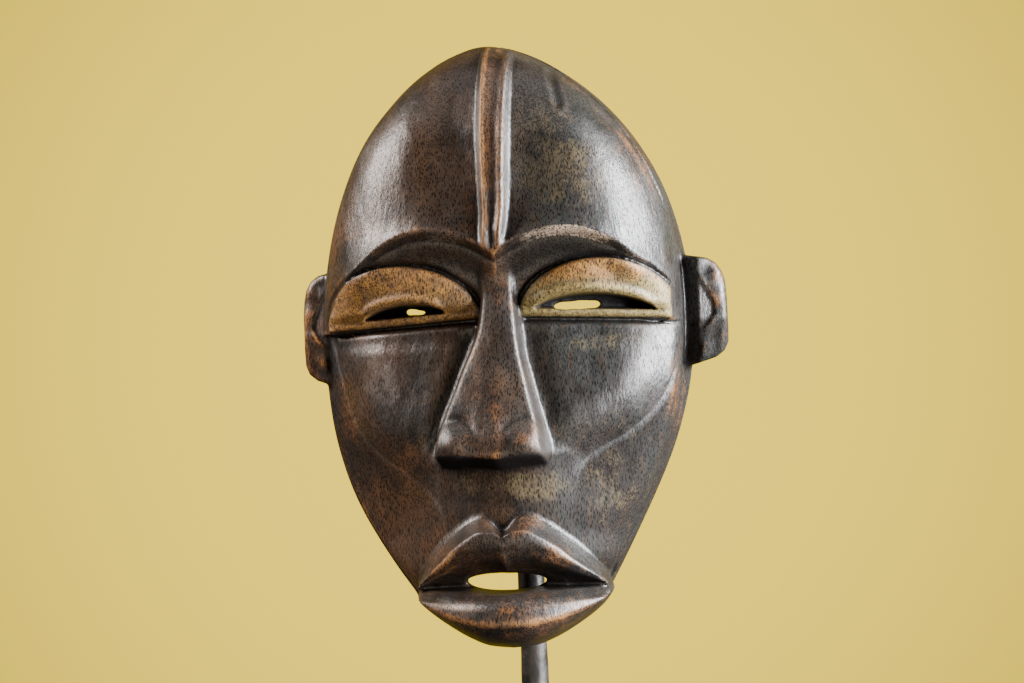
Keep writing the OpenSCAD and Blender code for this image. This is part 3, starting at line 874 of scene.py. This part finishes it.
# Node, body, material slot and the width of its broken edges in metres
SOFTENED = (
    ("base_block", "stand", "base_wood", 0.0009),
    ("post_flange", "stand", "black_iron", 0.0005),
    ("chin_bumper", "stand", "black_rubber", 0.0005),
    ("stop_collar", "collar", "black_iron", 0.0004),
    ("bracket_hub", "bracket", "black_iron", 0.0004),
    ("thumb_screw", "thumb_screw", "bright_steel", 0.0003),
    ("post_nut", "stand", "bright_steel", 0.0003),
    ("felt_pad", "stand", "felt", 0.0006),
)


# ---- Materials ----

class Nodes:
    """A node tree, with a short call for each kind of node."""

    def __init__(self, tree):
        self.tree = tree
        tree.nodes.clear()

    def link(self, value, socket):
        """Joins another node's output to a socket, or sets the socket's own number or colour."""
        if isinstance(value, bpy.types.NodeSocket):
            self.tree.links.new(value, socket)
        else:
            socket.default_value = value

    def fill(self, node, values):
        """Links or sets a node's inputs by name, with underscores for spaces."""
        for name, value in values.items():
            self.link(value, node.inputs[name.replace("_", " ")])
        return node

    def new(self, kind, **values):
        return self.fill(self.tree.nodes.new("ShaderNode" + kind), values)

    def math(self, operation, a, b, clamp=False):
        node = self.new("Math")
        node.operation = operation
        node.use_clamp = clamp
        self.link(a, node.inputs[0])
        self.link(b, node.inputs[1])
        return node.outputs[0]

    def times(self, a, b):
        return self.math("MULTIPLY", a, b)

    def plus(self, a, b, clamp=False):
        return self.math("ADD", a, b, clamp)

    def minus(self, a, b):
        return self.math("SUBTRACT", a, b)

    def span(self, value, low, high, to_low=0.0, to_high=1.0, kind="SMOOTHSTEP"):
        """The value's way from low to high, clamped."""
        node = self.new("MapRange", Value=value, From_Min=low, From_Max=high, To_Min=to_low, To_Max=to_high)
        node.interpolation_type = kind
        return node.outputs["Result"]

    def blend(self, share, a, b):
        node = self.new("Mix")
        node.data_type = "RGBA"
        self.link(share, node.inputs["Factor"])
        for value, socket in ((a, node.inputs[6]), (b, node.inputs[7])):
            self.link(value if isinstance(value, bpy.types.NodeSocket) else (*value, 1.0), socket)
        return node.outputs[2]

    def vector(self, operation, vector, other=(0, 0, 0)):
        node = self.new("VectorMath")
        node.operation = operation
        self.link(vector, node.inputs[0])
        self.link(other, node.inputs[1])
        return node.outputs["Value"]


class Shader(Nodes):
    """A material of one principled shader. A texture's scale is in features per metre along x, y and z."""

    def __init__(self, name):
        self.material = bpy.data.materials.new(name)
        self.material.use_nodes = True
        super().__init__(self.material.node_tree)
        self.where = self.new("TexCoord").outputs["Object"]
        self.shader = self.new("BsdfPrincipled")
        self.new("OutputMaterial", Surface=self.shader.outputs[0])

    def scaled(self, scale):
        return self.new("Mapping", Vector=self.where, Scale=scale).outputs[0]

    def noise(self, scale, detail=4.0, rough=0.5, distort=0.0):
        return self.new("TexNoise", Vector=self.scaled(scale), Scale=1.0, Detail=detail, Roughness=rough,
                        Distortion=distort).outputs["Fac"]

    def cells(self, scale):
        return self.new("TexVoronoi", Vector=self.scaled(scale), Scale=1.0).outputs["Distance"]

    def attribute(self, name):
        node = self.new("Attribute")
        node.attribute_name = name
        return node.outputs["Fac"]

    def bump(self, height, distance, strength, under=None):
        node = self.new("Bump", Strength=strength, Distance=distance, Height=height)
        if under is not None:
            self.link(under, node.inputs["Normal"])
        return node.outputs["Normal"]

    def place(self):
        return self.new("SeparateXYZ", Vector=self.where).outputs

    def set(self, **values):
        """Fills in the shader and gives back the finished material."""
        self.fill(self.shader, values)
        return self.material


BLACK = (0.0050, 0.0038, 0.0034)
DARK = (0.0125, 0.0098, 0.0085)
BROWN = (0.046, 0.0245, 0.0125)
# painted light: the cool cast of the right-hand light, laid into the right side's colour
COOL_LIGHT_CAST = (0.0130, 0.0140, 0.0128)
RUST = (0.082, 0.037, 0.0155)
ORANGE = (0.24, 0.112, 0.034)
OLIVE = (0.078, 0.058, 0.030)
# pale end grain, made lighter still as a painted highlight
END_GRAIN_AND_HIGHLIGHT = (0.60, 0.45, 0.33)
OCHRE = (0.36, 0.170, 0.034)
LID_BROWN = (0.105, 0.050, 0.020)
CREAM = (0.205, 0.165, 0.052)


def wood_pores(s):
    """Short vertical pores, 0 on the surface and 1 in a pore."""
    dashes = s.cells((1350, 1350, 330))
    more = s.cells((2100, 2100, 620))
    patches = s.noise((55, 55, 40), detail=4.0)
    large = s.times(s.span(dashes, 0.27, 0.42, 1.0, 0.0), s.span(patches, 0.30, 0.60, 0.35, 1.0))
    small = s.times(s.span(more, 0.28, 0.42, 1.0, 0.0), s.span(patches, 0.40, 0.62, 1.0, 0.4))
    return s.math("MAXIMUM", large, small)


def patina(s):
    """Colour of the dark handled surface, from near-black through brown to rubbed orange edges."""
    mottle = s.noise((34, 34, 24), detail=6.0, rough=0.62, distort=0.4)
    blotch = s.noise((150, 150, 110), detail=5.0, rough=0.7)
    streaks = s.noise((420, 420, 30), detail=3.0)
    grit = s.noise((1100, 1100, 800), detail=2.0)
    # painted light: the right side is tinted cool, as the cool light from the right tints it
    warm = s.blend(s.span(s.place()[0], -0.012, 0.030), BROWN, COOL_LIGHT_CAST)
    colour = s.blend(s.span(mottle, 0.38, 0.66), DARK, warm)
    colour = s.blend(s.times(s.span(streaks, 0.50, 0.75), 0.35), colour, BROWN)
    uneven = s.times(s.minus(blotch, 0.5), 1.9)
    speckle = s.times(s.minus(grit, 0.5), 0.9)
    dusty = s.plus(s.times(s.attribute("dust"), 0.8), s.plus(uneven, speckle))
    colour = s.blend(s.times(s.span(dusty, 0.30, 0.95), 0.75), colour, OLIVE)
    rusty = s.plus(s.times(s.attribute("rust"), 0.75), s.plus(uneven, speckle))
    colour = s.blend(s.times(s.span(rusty, 0.22, 0.95), 0.85), colour, RUST)
    edges = s.times(s.attribute("wear"), s.span(s.attribute("rust"), 0.0, 0.6, 0.45, 1.0))
    rub = s.plus(edges, s.plus(s.times(uneven, 0.7), speckle))
    colour = s.blend(s.times(s.span(rub, 0.42, 0.85), 0.75), colour, RUST)
    bright = s.plus(s.times(edges, s.attribute("rust")), s.times(uneven, 0.8))
    colour = s.blend(s.times(s.span(bright, 0.35, 0.95), 0.8), colour, ORANGE)
    # pale end grain on the brow's bevel, partly a painted highlight
    fibres = s.span(s.noise((1300, 1300, 120), detail=2.0), 0.32, 0.55, 0.25, 1.0)
    cut = s.times(s.attribute("cut"), fibres)
    return s.blend(s.span(cut, 0.15, 0.85), colour, END_GRAIN_AND_HIGHLIGHT)


def lid_pigment(s):
    """Rubbed ochre on both lids, with cream along the right one's lower half and dark specks."""
    blotch = s.noise((130, 130, 130), detail=6.0, rough=0.68)
    speck = s.noise((1300, 1300, 900), detail=4.0, rough=0.75)
    place = s.place()
    side = s.span(place[0], -0.012, 0.012)
    height = s.plus(place[2], s.times(s.minus(blotch, 0.5), 0.012))
    low = s.span(height, CHIN_Z + 0.147, CHIN_Z + 0.156, 1.0, 0.0)
    pale = s.times(low, s.plus(s.times(side, 0.80), 0.12))
    colour = s.blend(s.span(blotch, 0.34, 0.60), LID_BROWN, OCHRE)
    colour = s.blend(pale, colour, CREAM)
    colour = s.blend(s.times(s.span(speck, 0.47, 0.60), 0.85), colour, LID_BROWN)
    smudge = s.noise((330, 330, 260), detail=5.0, rough=0.75)
    return s.blend(s.times(s.span(smudge, 0.50, 0.72), 0.6), colour, BROWN)


def wood_material():
    """Dark handled wood, with pigment on the lids and bare in the hollow."""
    s = Shader("carved_wood")
    pores = wood_pores(s)
    colour = patina(s)
    chips = s.span(s.noise((160, 160, 160), detail=6.0, rough=0.7), 0.28, 0.42)
    colour = s.blend(s.times(s.attribute("lid"), chips), colour, lid_pigment(s))
    raw = s.blend(s.noise((200, 200, 18), detail=4.0), (0.17, 0.095, 0.050), (0.080, 0.045, 0.026))
    colour = s.blend(s.attribute("inside"), colour, raw)
    # painted shade: creases are darkened towards black
    colour = s.blend(s.times(s.attribute("crease_shade"), 0.75), colour, BLACK)
    # painted shade in the slits and under the nose
    colour = s.blend(s.times(s.attribute("dark"), 0.95), colour, BLACK)
    colour = s.blend(s.times(pores, 0.8), colour, BLACK)
    gloss = s.span(s.noise((110, 110, 70), detail=6.0, rough=0.7), 0.3, 0.7, 0.27, 0.42)
    rougher = (("lid", 0.18), ("inside", 0.28), ("cavity", 0.08), ("dust", 0.08), ("dark", 0.4),
               ("cut", 0.2), ("matte", 0.28), ("wear", 0.10))
    for name, amount in rougher:
        gloss = s.plus(gloss, s.times(s.attribute(name), amount))
    gloss = s.plus(gloss, s.times(pores, 0.06), clamp=True)
    relief = s.bump(s.noise((620, 620, 230), detail=4.0, rough=0.65), 0.0003, 0.5)
    relief = s.bump(s.noise((240, 240, 150), detail=3.0), 0.0006, 0.35, relief)
    dull = s.span(s.attribute("matte"), 0.0, 1.0, 0.5, 0.10)
    # A metal of black colour reflects nothing, which keeps the pores dark in the wood's sheen
    return s.set(Base_Color=colour, Roughness=gloss, Normal=relief, Specular_IOR_Level=dull,
                 Metallic=s.times(pores, 0.7))


def stained_wood_material():
    s = Shader("base_wood")
    grain = s.noise((30, 260, 260), detail=4.0, distort=0.3)
    pores = s.span(s.noise((200, 1500, 1500), detail=1.0), 0.60, 0.68)
    colour = s.blend(s.span(grain, 0.35, 0.7), (0.012, 0.009, 0.008), (0.040, 0.024, 0.016))
    colour = s.blend(s.times(pores, 0.7), colour, (0.004, 0.003, 0.003))
    relief = s.bump(s.minus(1.0, pores), 0.0002, 0.6, s.bump(grain, 0.0003, 0.3))
    return s.set(Base_Color=colour, Roughness=s.span(grain, 0.3, 0.7, 0.30, 0.42), Normal=relief)


def felt_material():
    s = Shader("felt")
    fibre = s.noise((1400, 1400, 1400), detail=3.0, rough=0.7, distort=1.5)
    colour = s.blend(s.span(fibre, 0.3, 0.7), (0.020, 0.022, 0.028), (0.060, 0.064, 0.074))
    return s.set(Base_Color=colour, Normal=s.bump(fibre, 0.0005, 0.8), Roughness=0.95, Sheen_Weight=0.5)


def steel_material():
    s = Shader("bright_steel")
    rings = s.noise((300, 300, 6000), detail=2.0)
    tarnish = s.noise((240, 240, 240), detail=5.0)
    colour = s.blend(s.span(tarnish, 0.45, 0.75), (0.56, 0.55, 0.53), (0.33, 0.30, 0.26))
    gloss = s.span(tarnish, 0.3, 0.7, 0.24, 0.42)
    return s.set(Base_Color=colour, Roughness=gloss, Normal=s.bump(rings, 0.0001, 0.25), Metallic=1.0)


def iron_material():
    s = Shader("black_iron")
    scale = s.noise((130, 130, 90), detail=5.0, rough=0.6)
    speck = s.noise((420, 420, 300), detail=4.0, rough=0.7)
    rust = s.times(s.span(speck, 0.54, 0.68), s.span(scale, 0.42, 0.62))
    colour = s.blend(s.span(scale, 0.35, 0.7), (0.011, 0.010, 0.009), (0.034, 0.028, 0.025))
    colour = s.blend(s.times(rust, 0.8), colour, (0.16, 0.052, 0.020))
    gloss = s.plus(s.span(scale, 0.3, 0.7, 0.36, 0.54), s.times(rust, 0.3), clamp=True)
    relief = s.bump(scale, 0.0012, 0.4, s.bump(speck, 0.0003, 0.5))
    return s.set(Base_Color=colour, Roughness=gloss, Normal=relief, Metallic=0.4)


def rubber_material():
    s = Shader("black_rubber")
    dust = s.noise((300, 300, 300), detail=5.0)
    grit = s.noise((2600, 2600, 2600), detail=2.0)
    colour = s.blend(s.span(dust, 0.45, 0.75), (0.014, 0.014, 0.015), (0.045, 0.043, 0.041))
    gloss = s.span(dust, 0.3, 0.7, 0.55, 0.8)
    return s.set(Base_Color=colour, Roughness=gloss, Normal=s.bump(grit, 0.0001, 0.4))


def dress_nodes():
    """Gives every CAD node its slot's material."""
    for part in frame["record"]["subparts"]:
        node = frame["nodes"][part["node"]]
        node.data.materials.clear()
        node.data.materials.append(materials[part["material_slot"]])


# ---- Stage, light and camera ----

CAMERA_TURN = math.radians(8.5)  # the camera stands this far round towards +x
CAMERA_ROLL = math.radians(-2.4)
CAMERA_AWAY = 1.0255
CAMERA_Z = CHIN_Z + 0.1275
FACE_Z = CHIN_Z + 0.13


def make_camera():
    """An 85 mm lens, level with the face and a little to its side, rolled slightly."""
    data = bpy.data.cameras.new("camera")
    data.lens = 85.0
    data.sensor_width = 36.0
    camera = add_object("camera", data)
    bpy.context.scene.camera = camera
    camera.location = (CAMERA_AWAY * math.sin(CAMERA_TURN), -CAMERA_AWAY * math.cos(CAMERA_TURN), CAMERA_Z)
    level = Euler((math.pi / 2, 0, CAMERA_TURN)).to_matrix()
    camera.rotation_euler = (level @ Matrix.Rotation(CAMERA_ROLL, 3, "Z")).to_euler()


def area_light(name, where, target, size, power, colour):
    data = bpy.data.lights.new(name, "AREA")
    data.shape = "RECTANGLE"
    data.size, data.size_y = size
    data.energy = power
    data.color = colour
    light = add_object(name, data)
    light.location = where
    light.rotation_euler = (Vector(target) - Vector(where)).to_track_quat("-Z", "Y").to_euler()
    return light


# Place from the face's middle and size in metres, power in watts, colour
SOFTBOXES = (
    ("left_softbox", (-1.10, -0.25, 0.66), (0.50, 0.7), 48, (1.0, 0.90, 0.83)),
    ("right_softbox", (1.16, -0.06, 0.30), (0.42, 0.8), 145, (0.94, 0.97, 1.0)),
    ("top_softbox", (0, -0.35, 1.3), (1.0, 0.7), 4, (1.0, 0.98, 0.95)),
    ("cheek_softbox", (1.05, -0.50, -0.04), (0.22, 0.34), 34, (0.97, 0.98, 1.0)),
)


def make_lights():
    """Strong cool softboxes at the right, dimmer warm ones left and above, and light off the table."""
    for name, (x, y, up), size, power, colour in SOFTBOXES:
        area_light(name, (x, y, FACE_Z + up), (0, 0, FACE_Z), size, power, colour)
    bounce = area_light("table_bounce", (0, -0.42, 0.015), (0, -0.05, FACE_Z + 0.02), (0.7, 0.3), 1.3,
                        (1.0, 0.88, 0.68))
    bounce.visible_camera = False


# The backdrop carries a painted pool of light: brightest in the middle, straight behind the object, dimmer
# towards BACKDROP_EDGE
BACKDROP = (1.70, 1.21, 0.080)  # in the middle, straight behind the object
BACKDROP_EDGE = (1.02, 0.74, 0.055)
BACKDROP_WAY = (-0.148, 0.989, 0.0)  # the direction in which it is brightest
ROOM = (0.068, 0.070, 0.073)  # the dim studio in front of the object
FLOOR = (0.80, 0.70, 0.46)
BACKDROP_SHARE = 0.18  # how much of the backdrop's brightness lights the object from behind
FLOOR_NEAR, FLOOR_FAR = 0.26, 0.55  # the floor fades out between these distances


def make_world():
    """A backdrop all round with a painted pool of light straight behind the object, which lights the object
    only a little and from behind.
    """
    world = bpy.data.worlds.new("backdrop")
    world.use_nodes = True
    n = Nodes(world.node_tree)
    way = n.new("TexCoord").outputs["Generated"]
    # painted pool of light on the backdrop, brightest along BACKDROP_WAY
    backdrop_light_pool = n.span(n.vector("DOT_PRODUCT", way, BACKDROP_WAY), 0.955, 1.0)
    behind = n.span(n.new("SeparateXYZ", Vector=way).outputs["Y"], 0.1, 0.7, kind="LINEAR")
    dim = [BACKDROP_SHARE * v for v in BACKDROP]
    choose = n.new("MixShader", Fac=n.new("LightPath").outputs["Is Camera Ray"])
    n.link(n.new("Background", Color=n.blend(behind, ROOM, dim)).outputs[0], choose.inputs[1])
    n.link(n.new("Background", Color=n.blend(backdrop_light_pool, BACKDROP_EDGE, BACKDROP)).outputs[0], choose.inputs[2])
    n.new("OutputWorld", Surface=choose.outputs[0])
    bpy.context.scene.world = world


def make_floor():
    """A plain pale floor that fades into the backdrop a little way out from the stand."""
    r = np.linspace(FLOOR_FAR + 0.02, 0, 12, endpoint=False)[:, None]
    a = np.linspace(0, 2 * math.pi, 64, endpoint=False)[None, :]
    mesh = ring_mesh("floor", np.stack([r * np.cos(a), r * np.sin(a), 0 * r * a], -1), (0, 0, 0))
    floor = add_object("floor", mesh)
    s = Shader("floor")
    fade = s.span(s.vector("LENGTH", s.where), FLOOR_NEAR, FLOOR_FAR, 1.0, 0.0)
    mesh.materials.append(s.set(Base_Color=(*FLOOR, 1.0), Roughness=0.9, Alpha=fade))
    floor.visible_diffuse = False
    floor.visible_glossy = False


make_camera()
materials = {
    "carved_wood": wood_material(),
    "base_wood": stained_wood_material(),
    "felt": felt_material(),
    "bright_steel": steel_material(),
    "black_iron": iron_material(),
    "black_rubber": rubber_material(),
}
dress_nodes()
sculpt_mask()
forge_rod()
for part in SOFTENED:
    soften(*part)
make_lights()
make_world()
make_floor()
